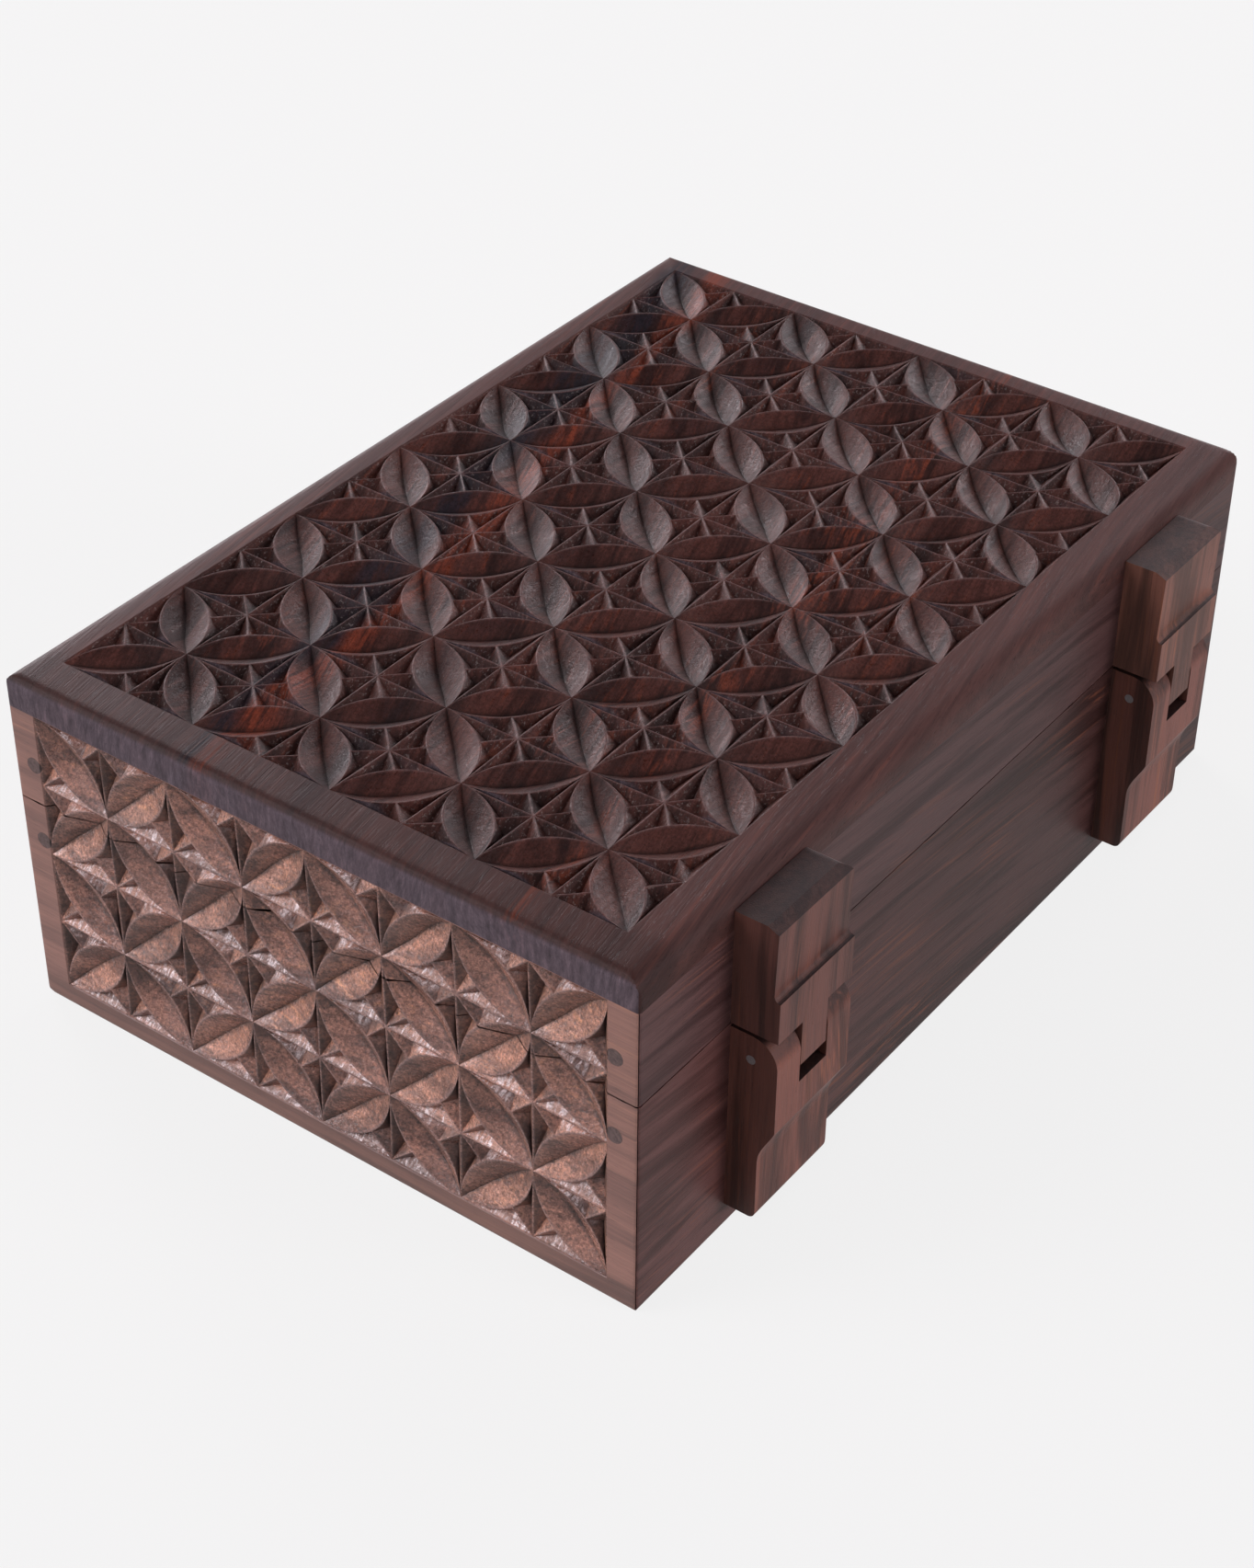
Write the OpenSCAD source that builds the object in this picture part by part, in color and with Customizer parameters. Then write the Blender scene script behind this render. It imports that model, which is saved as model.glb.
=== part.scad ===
// Jewelry organizer box of dark hardwood, chip carved, with wooden knuckle hinges.
// The origin is the middle of the underside. X runs along the box, the hinges are on +Y, Z is up.

/* [Box] */
// Length along X
box_l = 272; // [240:1:340]
// Depth along Y, without the hinges
box_w = 188; // [160:1:240]
// Height with the lid shut
box_h = 100; // [90:1:140]
// Height of the joint between base and lid
seam_z = 64; // [55:0.5:70]
// Gap between base and lid when shut
seam_gap = 0.3; // [0.2:0.1:0.8]
// Thickness of the front, back and end boards
wall_t = 12; // [10:0.5:15]
// Thickness of the top board
top_t = 9; // [8:0.5:12]
// Thickness of the bottom board
bottom_t = 6; // [4:0.5:8]
// Width of the rebate that holds the bottom board
rebate_w = 6; // [3:0.5:8]
// Room round the bottom board in its rebate
panel_gap = 0.2; // [0.1:0.1:0.5]

/* [Edges] */
// Rounding of the top's front and end edges
top_edge_r = 3; // [1:0.5:4]
// Rounding of the top's back edge
back_edge_r = 5; // [2:0.5:6]
// Rounding of the back's and the ends' edges that stand on the table
foot_edge_r = 1.5; // [0.5:0.5:2.5]
// Rounding of the front's edge that stands on the table
front_foot_r = 4; // [1:0.5:5]
// Rounding of the upright corners
corner_r = 1; // [0.5:0.5:2]

/* [Carving] */
// Pitch of the carved grid
grid = 21; // [17:0.5:25]
// Least plain border beside a carved field
border_min = 7; // [5:0.5:10]
// Distance that the top's field lies off centre, towards the front and the left
field_shift = 2; // [0:0.5:3]
// How much wider than high a cell is on the sides
side_stretch = 1.018; // [1:0.002:1.03]
// Plain strip between the top board and the side fields
field_drop = 0.3; // [0.2:0.1:1]
// Depth of a petal's groove
petal_d = 3.3; // [2:0.1:4]
// Depth of a triangular chip
chip_d = 2.8; // [1.5:0.1:3.5]
// Depth of the ridges below the board's face
ridge_d = 0.2; // [0.1:0.05:0.4]

/* [Dividers] */
// Thickness of a divider
divider_t = 5; // [3:0.5:8]
// Height of the dividers above the bottom board
divider_h = 42; // [25:1:45]
// Room at a divider's ends and in its halved joints
divider_gap = 0.2; // [0.1:0.1:0.5]

/* [Dowels] */
// Diameter of a corner dowel
dowel_d = 4.5; // [4:0.5:7]
// Distance of a dowel from the front or back face
dowel_in = 6.5; // [5:0.5:8]
// Distance of a dowel above or below the joint
dowel_off = 11.5; // [8:0.5:15]
// Length of a dowel
dowel_l = 24; // [18:1:35]

/* [Hinges] */
// Width of a hinge along X
hinge_w = 30; // [24:1:40]
// Distance of a hinge's middle from the nearer end of the box
hinge_in = 48.5; // [44:0.5:58]
// Distance that both hinges lie towards the left
hinge_shift = 1.5; // [0:0.5:4]
// Distance of a leaf's top below the box's top
leaf_top_drop = 3.5; // [2:0.5:6]
// Height of a leaf's bottom above the table
leaf_foot = 7.5; // [4:0.5:14]
// Radius of the knuckle about the pin
knuckle_r = 7.2; // [6.5:0.1:8]
// Distance of the pin's axis from the back board
pin_out = 5.8; // [5.4:0.1:7]
// Diameter of the hinge pin
pin_d = 2.5; // [2:0.1:3.5]
// Room between the pin and the finger's bore, on the radius
pin_fit = 0.05; // [0.02:0.01:0.09]
// Gap between the knuckles and the upper leaf
leaf_gap = 0.95; // [0.7:0.05:1.5]
// Width of the upper leaf's finger
finger_w = 10.4; // [8:0.2:12]
// Gap at each side of the finger
finger_gap = 0.4; // [0.3:0.1:0.8]
// Gap between the finger and the back board
finger_wall_gap = 1; // [0.8:0.1:1.5]
// Gap that the turning finger leaves at the bottom of its slot
slot_gap = 1; // [0.5:0.1:2]
// Thickness of the upper leaf at its top
leaf_top_t = 11.8; // [10:0.1:12.5]
// Height of the upper leaf's ledge above the joint
ledge_up = 11.8; // [8:0.2:16]
// Radius of the cove above the ledge
cove_r = 1.7; // [1:0.1:2]
// Width of the bevel along the upper leaf's top
bevel_w = 3; // [1:0.1:4]
// Height of that bevel
bevel_h = 1.4; // [0.5:0.1:2.5]
// Thickness of the lower leaf's slim end
leaf_slim_t = 8.6; // [7:0.1:10]
// Height of the lower leaf's shoulder above the table
shoulder_z = 37; // [30:0.5:40]
// Height of the shoulder's curve
shoulder_h = 11; // [6:0.5:14]
// Rounding of the lower leaf's bottom edge
leaf_foot_r = 2; // [1:0.5:3]
// Rounding of a leaf's free corner towards the left
leaf_corner_r = 3; // [1:0.5:4]

/* [Hidden] */
$fn = 48;

over = 1;
lid_z = seam_z + seam_gap / 2;
base_z = seam_z - seam_gap / 2;
top_z = box_h - top_t;
room_l = box_l - 2 * wall_t;
room_w = box_w - 2 * wall_t;
back_y = box_w / 2;

// Whole pairs of cells, so that every corner of a field is a petal's tip
top_nx = 2 * floor((box_l / 2 - border_min) / grid);
top_ny = 2 * floor((box_w / 2 - border_min) / grid);
side_ny = 2 * floor((top_z - field_drop - border_min / 2) / grid / 2);
side_z = top_z - field_drop - side_ny * grid;
seam_row = floor((seam_z - side_z) / grid);
lid_rows = [seam_row, side_ny - 1];
base_rows = [0, seam_row];

arc_n = 6;
arc_half = arc_n / 2;
cell_points = 3 * (arc_n - 1) + 4;
petal_half = grid * (sqrt(2) - 1) / sqrt(2);
chip_along = 0.32 * grid;
chip_across = 0.13 * grid;

pin_z = lid_z - knuckle_r - leaf_gap;
pin_y = back_y + pin_out;
leaf_t = pin_out + knuckle_r;
finger_set = 0.1;
finger_front = knuckle_r - finger_set;
finger_r = pin_out - finger_wall_gap;
slot_z = pin_z - sqrt(pow(finger_front, 2) + pow(finger_r, 2)) - slot_gap;
leaf_top_z = box_h - leaf_top_drop;
ledge_z = lid_z + ledge_up;
knuckle_z = pin_z + knuckle_r;
hinge_left_x = hinge_in - box_l / 2 - hinge_shift;
hinge_right_x = box_l / 2 - hinge_in - hinge_shift;

divider_top = bottom_t + divider_h;
divider_half = bottom_t + divider_h / 2;
divider_x = (room_l + divider_t) / 6;

wood_top = [0.27, 0.17, 0.15];
wood_end = [0.50, 0.36, 0.28];
wood_back = [0.30, 0.22, 0.20];
wood_hinge = [0.42, 0.26, 0.20];
wood_inside = [0.45, 0.31, 0.22];
wood_dowel = [0.25, 0.19, 0.18];
steel = [0.62, 0.62, 0.63];

// What rounds one corner of a profile when it is taken away
module corner_cut(r) {
    difference() {
        translate([-over, -over]) square(r + over);
        translate([r, r]) circle(r);
    }
}

// A rectangle from [-w/2, 0] to [w/2, h], rounded at its foot's and its top's left and right
module rounded_profile(w, h, foot_left_r, foot_right_r, left_r, right_r) {
    difference() {
        translate([-w / 2, 0]) square([w, h]);
        translate([-w / 2, 0]) corner_cut(foot_left_r);
        translate([w / 2, 0]) mirror([1, 0]) corner_cut(foot_right_r);
        translate([-w / 2, h]) mirror([0, 1]) corner_cut(left_r);
        translate([w / 2, h]) rotate(180) corner_cut(right_r);
    }
}

// The outside of the shut box, with all its edges rounded
module envelope() {
    intersection() {
        rotate([90, 0, 90])
            linear_extrude(box_l, center = true)
                rounded_profile(box_w, box_h, front_foot_r, foot_edge_r, top_edge_r, back_edge_r);
        rotate([90, 0, 0])
            linear_extrude(box_w, center = true)
                rounded_profile(box_l, box_h, foot_edge_r, foot_edge_r, top_edge_r, top_edge_r);
        linear_extrude(box_h)
            translate([0, -box_w / 2])
                rounded_profile(box_l, box_w, corner_r, corner_r, corner_r, corner_r);
    }
}

// The carving is worked out cell by cell. A cell's petal runs between two opposite corners, the
// other two corners are star centres. Points are [x, y, z] with the board's face at z = 0.

// A point of the petal's rim on the side of the first star centre, in the cell's own square
function rim(k) = [grid - grid * cos(90 * k / arc_n), grid - grid * sin(90 * k / arc_n)];

// The point of the petal's valley beside that point of the rim
function valley(k) = let (p = rim(k)) [(p[0] - p[1] + grid) / 2, (p[1] - p[0] + grid) / 2];

function valley_d(k) = let (p = rim(k)) petal_d * (grid - p[0] - p[1]) / sqrt(2) / petal_half;

function opposite(p) = [grid - p[0], grid - p[1]];

function cell_shape() = concat(
    [for (k = [1 : arc_n - 1]) [rim(k)[0], rim(k)[1], -ridge_d]],
    [for (k = [1 : arc_n - 1]) [opposite(rim(k))[0], opposite(rim(k))[1], -ridge_d]],
    [for (k = [1 : arc_n - 1]) [valley(k)[0], valley(k)[1], -ridge_d - valley_d(k)]],
    [for (p = [[chip_along, chip_across], [chip_across, chip_along]]) [p[0], p[1], -ridge_d - chip_d]],
    [for (p = [[chip_along, chip_across], [chip_across, chip_along]])
        [opposite(p)[0], opposite(p)[1], -ridge_d - chip_d]]
);

// Every second cell is turned by a quarter, so that petals meet tip to tip
function turned(p, turn) = turn ? [grid - p[1], p[0], p[2]] : p;

function is_turned(i, j) = (i + j) % 2 == 0;

// The faces of one cell, from the numbers of its star centres, its petal tips and its first own point
function cell_faces(s1, s2, pa, pb, first) =
    let (
        rim1 = concat([pb], [for (k = [0 : arc_n - 2]) first + k], [pa]),
        rim2 = concat([pa], [for (k = [0 : arc_n - 2]) first + arc_n - 1 + k], [pb]),
        vale = concat([pb], [for (k = [0 : arc_n - 2]) first + 2 * (arc_n - 1) + k], [pa]),
        deep = first + 3 * (arc_n - 1),
        chips = [
            concat([s1], [for (k = [arc_n : -1 : arc_half]) rim1[k]]),
            concat([s1], [for (k = [arc_half : -1 : 0]) rim1[k]]),
            concat([s2], [for (k = [arc_n : -1 : arc_half]) rim2[k]]),
            concat([s2], [for (k = [arc_half : -1 : 0]) rim2[k]])
        ]
    )
    concat(
        [for (c = [0 : 3]) for (e = [0 : len(chips[c]) - 1])
            [chips[c][e], chips[c][(e + 1) % len(chips[c])], deep + c]],
        [[pb, rim1[1], vale[1]], [rim1[arc_n - 1], pa, vale[arc_n - 1]]],
        [for (k = [1 : arc_n - 2]) [rim1[k], rim1[k + 1], vale[k + 1], vale[k]]],
        [[pa, rim2[1], vale[arc_n - 1]], [rim2[arc_n - 1], pb, vale[1]]],
        [for (k = [1 : arc_n - 2]) [rim2[k], rim2[k + 1], vale[arc_n - k - 1], vale[arc_n - k]]]
    );

// What the carver takes away from the cells of some columns and rows, each given as [first, last].
// The first corner of column 0 and row 0 is the origin.
module carved_field(columns, rows) {
    nx = columns[1] - columns[0] + 1;
    ny = rows[1] - rows[0] + 1;
    corners = (nx + 1) * (ny + 1);
    shape = cell_shape();
    top = corners + nx * ny * cell_points;
    points = concat(
        [for (j = [0 : ny]) for (i = [0 : nx])
            [(i + columns[0]) * grid, (j + rows[0]) * grid, -ridge_d]],
        [for (j = [0 : ny - 1]) for (i = [0 : nx - 1]) for (p = shape)
            turned(p, is_turned(i + columns[0], j + rows[0]))
                + [(i + columns[0]) * grid, (j + rows[0]) * grid, 0]],
        [for (j = [0, 1]) for (i = [0, 1]) [
            (columns[0] + i * nx) * grid + (2 * i - 1) * over,
            (rows[0] + j * ny) * grid + (2 * j - 1) * over,
            over
        ]]
    );
    cells = [for (j = [0 : ny - 1]) for (i = [0 : nx - 1])
        let (
            c00 = j * (nx + 1) + i,
            c10 = c00 + 1,
            c01 = c00 + nx + 1,
            c11 = c01 + 1,
            first = corners + (j * nx + i) * cell_points
        )
        is_turned(i + columns[0], j + rows[0])
            ? cell_faces(c10, c01, c11, c00, first)
            : cell_faces(c00, c11, c10, c01, first)];
    sides = [
        concat([top, top + 1], [for (i = [nx : -1 : 0]) i]),
        concat([top + 1, top + 3], [for (j = [ny : -1 : 0]) j * (nx + 1) + nx]),
        concat([top + 3, top + 2], [for (i = [0 : nx]) ny * (nx + 1) + i]),
        concat([top + 2, top], [for (j = [0 : ny]) j * (nx + 1)])
    ];
    polyhedron(
        points = points,
        faces = concat([for (c = cells) each c], sides, [[top, top + 2, top + 3, top + 1]])
    );
}

module top_carving() {
    translate([-top_nx * grid / 2 - field_shift, -top_ny * grid / 2 - field_shift, box_h])
        carved_field([0, top_nx - 1], [0, top_ny - 1]);
}

// The carving of a side that lies at distance out from the middle and is turned by angle
module side_carving(angle, out, nx, columns, rows) {
    rotate([0, 0, angle])
        translate([0, -out, side_z])
            rotate([90, 0, 0])
                scale([side_stretch, 1, 1])
                    translate([-nx * grid / 2, 0, 0])
                        carved_field(columns, rows);
}

// A board with mitred ends and its outer face at -Y, turned to its side of the box
module mitred_board(angle, length, depth, z0, z1) {
    intersection() {
        rotate([0, 0, angle])
            translate([0, -depth / 2, z0])
                linear_extrude(z1 - z0)
                    polygon([[-length / 2, 0], [length / 2, 0],
                        [length / 2 - wall_t, wall_t], [-length / 2 + wall_t, wall_t]]);
        envelope();
    }
}

module rebate() {
    translate([0, 0, (bottom_t - over) / 2])
        cube([room_l + 2 * rebate_w, room_w + 2 * rebate_w, bottom_t + over], center = true);
}

// The dowels of all four corners at one height
module dowels(z) {
    for (sx = [-1, 1], sy = [-1, 1])
        translate([sx * box_l / 2, sy * (box_w / 2 - dowel_in), z])
            rotate([0, -sx * 90, 0])
                cylinder(d = dowel_d, h = dowel_l);
}

module lid_board(angle, length, depth, nx) {
    difference() {
        mitred_board(angle, length, depth, lid_z, top_z);
        dowels(seam_z + dowel_off);
        if (nx > 0)
            side_carving(angle, depth / 2, nx, [0, nx - 1], lid_rows);
    }
}

module base_board(angle, length, depth, nx) {
    difference() {
        mitred_board(angle, length, depth, 0, base_z);
        rebate();
        dowels(seam_z - dowel_off);
        if (nx > 0)
            side_carving(angle, depth / 2, nx, [0, nx - 1], base_rows);
    }
}

// The dowels are carved with the ends, where a field reaches them
module end_dowels(z, rows) {
    difference() {
        dowels(z);
        for (angle = [90, -90], column = [0, top_ny - 1])
            side_carving(angle, box_l / 2, top_ny, [column, column], rows);
    }
}

module lid_dowels() {
    color(wood_dowel) end_dowels(seam_z + dowel_off, lid_rows);
}

module base_dowels() {
    color(wood_dowel) end_dowels(seam_z - dowel_off, base_rows);
}

module top_board() {
    color(wood_top)
        difference() {
            intersection() {
                translate([-box_l / 2, -box_w / 2, top_z]) cube([box_l, box_w, top_t]);
                envelope();
            }
            top_carving();
        }
}

module lid_front() {
    color(wood_end) lid_board(0, box_l, box_w, top_nx);
}

module lid_back() {
    color(wood_back) lid_board(180, box_l, box_w, 0);
}

module lid_end_right() {
    color(wood_end) lid_board(90, box_w, box_l, top_ny);
}

module lid_end_left() {
    color(wood_end) lid_board(-90, box_w, box_l, top_ny);
}

module base_front() {
    color(wood_end) base_board(0, box_l, box_w, top_nx);
}

module base_back() {
    color(wood_back) base_board(180, box_l, box_w, 0);
}

module base_end_right() {
    color(wood_end) base_board(90, box_w, box_l, top_ny);
}

module base_end_left() {
    color(wood_end) base_board(-90, box_w, box_l, top_ny);
}

module bottom_board() {
    room = 2 * (rebate_w - panel_gap);
    color(wood_inside)
        translate([0, 0, bottom_t / 2])
            cube([room_l + room, room_w + room, bottom_t], center = true);
}

// The slot of a halved joint, from z0 to z1
module halved_slot(z0, z1) {
    slot_w = divider_t + 2 * divider_gap;
    translate([-slot_w / 2, -slot_w / 2, z0]) cube([slot_w, slot_w, z1 - z0]);
}

module divider_long() {
    color(wood_inside)
        difference() {
            translate([-room_l / 2 + divider_gap, -divider_t / 2, bottom_t])
                cube([room_l - 2 * divider_gap, divider_t, divider_h]);
            for (sx = [-1, 1])
                translate([sx * divider_x, 0, 0]) halved_slot(divider_half, divider_top + over);
        }
}

module divider_cross(x) {
    color(wood_inside)
        difference() {
            translate([x - divider_t / 2, -room_w / 2 + divider_gap, bottom_t])
                cube([divider_t, room_w - 2 * divider_gap, divider_h]);
            translate([x, 0, 0]) halved_slot(bottom_t - over, divider_half);
        }
}

// An outline of [distance out of the back board, z], drawn across the width w
module leaf_extrude(w) {
    translate([0, back_y, 0])
        rotate([90, 0, 90])
            linear_extrude(w, center = true)
                children();
}

module pin_bore(r) {
    translate([0, pin_y, pin_z])
        rotate([0, 90, 0])
            cylinder(r = r, h = hinge_w + 2 * over, center = true);
}

// What rounds a leaf's corner towards the left, at its foot or at its top, which lies at height z
module leaf_corner(z, at_top) {
    translate([-hinge_w / 2, back_y + leaf_t + over, z])
        rotate([90, 0, 0])
            mirror([0, at_top ? 1 : 0, 0])
                linear_extrude(leaf_t + 2 * over)
                    corner_cut(leaf_corner_r);
}

module upper_leaf_outline() {
    cove = [for (a = [0 : 15 : 90]) [leaf_t - cove_r * sin(a), ledge_z + cove_r * (1 - cos(a))]];
    polygon(concat(
        [[0, lid_z], [leaf_t - finger_set, lid_z], [leaf_t - finger_set, lid_z + cove_r]],
        cove,
        [[leaf_top_t, leaf_top_z - bevel_h], [leaf_top_t - bevel_w, leaf_top_z], [0, leaf_top_z]]
    ));
}

// The finger reaches down round the pin. Behind and below the pin it is round, to clear the wall.
module finger_outline() {
    translate([pin_out, pin_z]) circle(finger_r);
    translate([pin_out, pin_z - finger_r]) square([finger_front, lid_z + over - pin_z + finger_r]);
    translate([pin_out - finger_r, pin_z]) square([2 * finger_r, lid_z + over - pin_z]);
}

module upper_hinge_leaf(x) {
    color(wood_hinge)
        translate([x, 0, 0])
            difference() {
                union() {
                    leaf_extrude(hinge_w) upper_leaf_outline();
                    leaf_extrude(finger_w) finger_outline();
                }
                leaf_corner(leaf_top_z, true);
                pin_bore(pin_d / 2 + pin_fit);
            }
}

module lower_leaf_outline() {
    steps = 8;
    curve = [for (k = [0 : steps])
        let (t = k / steps)
        [leaf_slim_t + (leaf_t - leaf_slim_t) * t * t * (2 - t), shoulder_z - shoulder_h * (1 - t)]];
    difference() {
        polygon(concat(
            [[0, leaf_foot], [leaf_slim_t, leaf_foot]],
            curve,
            [[leaf_t, pin_z], [pin_out, pin_z], [pin_out, knuckle_z], [0, knuckle_z]]
        ));
        translate([leaf_slim_t, leaf_foot]) mirror([1, 0]) corner_cut(leaf_foot_r);
    }
    intersection() {
        translate([pin_out, pin_z]) circle(knuckle_r);
        translate([0, pin_z - knuckle_r]) square([leaf_t, 2 * knuckle_r]);
    }
}

module lower_hinge_leaf(x) {
    notch_w = finger_w + 2 * finger_gap;
    color(wood_hinge)
        translate([x, 0, 0])
            difference() {
                leaf_extrude(hinge_w) lower_leaf_outline();
                translate([-notch_w / 2, back_y - over, slot_z])
                    cube([notch_w, leaf_t + 2 * over, box_h - slot_z]);
                leaf_corner(leaf_foot, false);
                pin_bore(pin_d / 2);
            }
}

module hinge_pins() {
    color(steel)
        for (x = [hinge_left_x, hinge_right_x])
            translate([x, pin_y, pin_z])
                rotate([0, 90, 0])
                    cylinder(d = pin_d, h = hinge_w, center = true);
}

top_board();
lid_front();
lid_back();
lid_end_left();
lid_end_right();
lid_dowels();
upper_hinge_leaf(hinge_left_x);  // upper_hinge_leaf_left
upper_hinge_leaf(hinge_right_x);  // upper_hinge_leaf_right
base_front();
base_back();
base_end_left();
base_end_right();
bottom_board();
base_dowels();
divider_long();
divider_cross(-divider_x);  // divider_cross_left
divider_cross(divider_x);  // divider_cross_right
lower_hinge_leaf(hinge_left_x);  // lower_hinge_leaf_left
lower_hinge_leaf(hinge_right_x);  // lower_hinge_leaf_right
hinge_pins();
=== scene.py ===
"""Looks of the jewelry organizer box: carved boards, hinges, woods, light and camera."""
import math

import bmesh
import bpy
import numpy as np
from mathutils import Matrix, Vector


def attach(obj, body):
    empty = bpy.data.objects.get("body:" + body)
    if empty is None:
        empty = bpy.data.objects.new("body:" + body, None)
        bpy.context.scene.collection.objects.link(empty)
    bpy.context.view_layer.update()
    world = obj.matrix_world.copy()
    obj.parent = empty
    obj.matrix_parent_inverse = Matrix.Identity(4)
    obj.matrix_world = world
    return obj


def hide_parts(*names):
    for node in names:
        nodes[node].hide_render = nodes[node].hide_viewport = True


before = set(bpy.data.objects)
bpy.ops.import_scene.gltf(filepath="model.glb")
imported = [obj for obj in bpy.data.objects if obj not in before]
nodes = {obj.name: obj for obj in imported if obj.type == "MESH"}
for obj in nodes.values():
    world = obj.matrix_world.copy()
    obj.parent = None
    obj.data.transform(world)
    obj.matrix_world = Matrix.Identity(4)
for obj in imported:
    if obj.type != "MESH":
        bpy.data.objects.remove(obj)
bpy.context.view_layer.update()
MM = 0.001

# Sizes of the box in millimetres, as in the CAD source
BOX_L, BOX_W, BOX_H = 272.0, 188.0, 100.0
SEAM, SEAM_GAP = 64.0, 0.3
WALL, TOP_T, BOTTOM_T, REBATE = 12.0, 9.0, 6.0, 6.0
TOP_R, BACK_R, FOOT_R, FRONT_FOOT_R, CORNER_R = 3.0, 5.0, 1.5, 4.0, 1.0
GRID, RIDGE, PETAL_D, CHIP_D = 21.0, 0.2, 3.3, 2.8
TOP_NX, TOP_NY, SIDE_NY, FIELD_SHIFT, SIDE_Z, SIDE_STRETCH = 12, 8, 4, 2.0, 6.7, 1.018
TOP_Z = BOX_H - TOP_T
FLARE = 0.2  # width of the bevel between a board's face and its carved field
MITRE_GAP = 0.08  # how far each board stays short of its mitre
CREASE = math.radians(32)  # edges that turn by more than this stay crisp
TOP_SEED, TOP_DRIFT, SIDE_DRIFT = 11, (1.1, 1.3), (0.5, 0.7)  # seed and drifts of the carved fields


# ---------------------------------------------------------------- meshes

UNCUT, CHIP, PETAL = 0, 1, 2  # kinds of faces, which the materials tell apart
WELD = 2000  # points that are the same to this part of a millimetre are joined
UNTOUCHED = 0.4  # the value, from 0 on a ridge to 1 in a groove, of points that no knife has touched


class Shell:
    """Gathers patches and polygons in millimetres and joins them where their points meet."""

    def __init__(self):
        self.points, self.faces, self.kinds, self.tones, self.count = [], [], [], [], 0

    def add(self, points):
        """Points are (u, v, h), or (u, v, h, t) with t from 0 on a carved ridge to 1 in a groove."""
        points = np.asarray(points, float)
        points = points.reshape(-1, points.shape[-1])
        if points.shape[1] == 3:
            points = np.column_stack([points, np.full(len(points), UNTOUCHED)])
        self.points.append(points)
        self.count += len(points)
        return self.count - len(points)

    def keep(self, faces, kind=UNCUT, tone=0.0):
        self.faces.append(faces)
        self.kinds.append(np.full(len(faces), kind, np.float32))
        self.tones.append(np.full(len(faces), tone, np.float32))

    def quads(self, grid):
        """Adds the points of a grid and gives the quads between them, by row and column."""
        m, n = grid.shape[:2]
        i = self.add(grid) + np.arange(m * n).reshape(m, n)
        return np.stack([i[:-1, :-1], i[:-1, 1:], i[1:, 1:], i[1:, :-1]], -1)

    def patch(self, grid, kind=UNCUT, tone=0.0):
        self.keep(self.quads(grid).reshape(-1, 4), kind, tone)

    def polygon(self, points):
        first = self.add(points)
        self.keep([list(range(first, first + len(points)))])

    def mesh(self, name, place):
        """The joined mesh. place turns local (u, v, h) points into the row frame, in millimetres."""
        local = np.concatenate(self.points)
        keys = np.round(local[:, :3] * WELD).astype(np.int64)
        _, first, index = np.unique(keys, axis=0, return_index=True, return_inverse=True)
        index = index.ravel()
        faces, kinds, tones = [], [], []
        for group, kind, tone in zip(self.faces, self.kinds, self.tones):
            for f, k, t in zip(group, kind, tone):
                ids = [int(index[x]) for x in f]
                ids = [a for a, b in zip(ids, ids[1:] + ids[:1]) if a != b]
                if len(ids) > 2:
                    faces.append(ids)
                    kinds.append(k)
                    tones.append(t)
        corners = local[first]
        me = bpy.data.meshes.new(name)
        me.from_pydata((place(corners) * MM).tolist(), [], faces)
        for key, kind, values in (("kind", "FACE", kinds), ("tone", "FACE", tones),
                                  ("groove", "POINT", corners[:, 3])):
            me.attributes.new(key, "FLOAT", kind).data.foreach_set("value", np.asarray(values, np.float32))
        return me


def ramp(t, t0):
    """A height that starts level at a ridge, over t0, and then falls evenly to 1."""
    t = np.asarray(t, float)
    return np.where(t < t0, t * t / (2 * t0), t - t0 / 2) / (1 - t0 / 2)


# Steps from a ridge, 0, to the bottom of a chip or of a petal's groove, 1
CHIP_T = np.array([0, 0.07, 0.14, 0.22, 0.6, 1.0])
PETAL_T = np.array([0, 0.03, 0.07, 0.2, 0.42, 0.66, 0.87, 1.0])
# The share of such a fall over which a worn ridge is rounded
EDGE_ROUND, ARC_ROUND, SPOKE_ROUND, PETAL_ROUND = 0.11, 0.14, 0.11, 0.07
# Segments of a grid edge, of half a petal's arc and of the ridge from a star to the arc
EDGE_N, ARC_N, SPOKE_N = 8, 12, 4
# A chip's deepest point: its place along and across the grid edge, as a share of the grid
APEX_ALONG, APEX_ACROSS = 0.32, 0.13
PETAL_BELLY = 0.16  # how much a petal's flank bulges, as a share of its depth
# How far handwork strays, as standard deviations: in millimetres for places and bows, as a share for the others
NODE_STRAY, NODE_STRAY_MAX, EDGE_BOW, SPOKE_BOW = 0.16, 0.4, 0.09, 0.06
ARC_SPREAD, ARC_WAVE, VALE_SWAY, VALE_WAVE, BELLY_SPREAD = 0.02, 0.1, 0.3, 0.2, 0.5
PETAL_D_SPREAD, CHIP_D_SPREAD, ALONG_SPREAD, ACROSS_SPREAD = 0.05, 0.09, 0.018, 0.008
CUT_TONE, FACET_TONE = 0.5, 0.3


def line(a, b, n, bow=0.0):
    """Points from a to b, with a slight sideways bow."""
    s = np.linspace(0, 1, n + 1)[:, None]
    a, b = np.asarray(a, float), np.asarray(b, float)
    side = np.array([-(b - a)[1], (b - a)[0]]) / max(np.hypot(*(b - a)), 1e-9)
    return a + (b - a) * s + side * bow * np.sin(np.pi * s)


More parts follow.
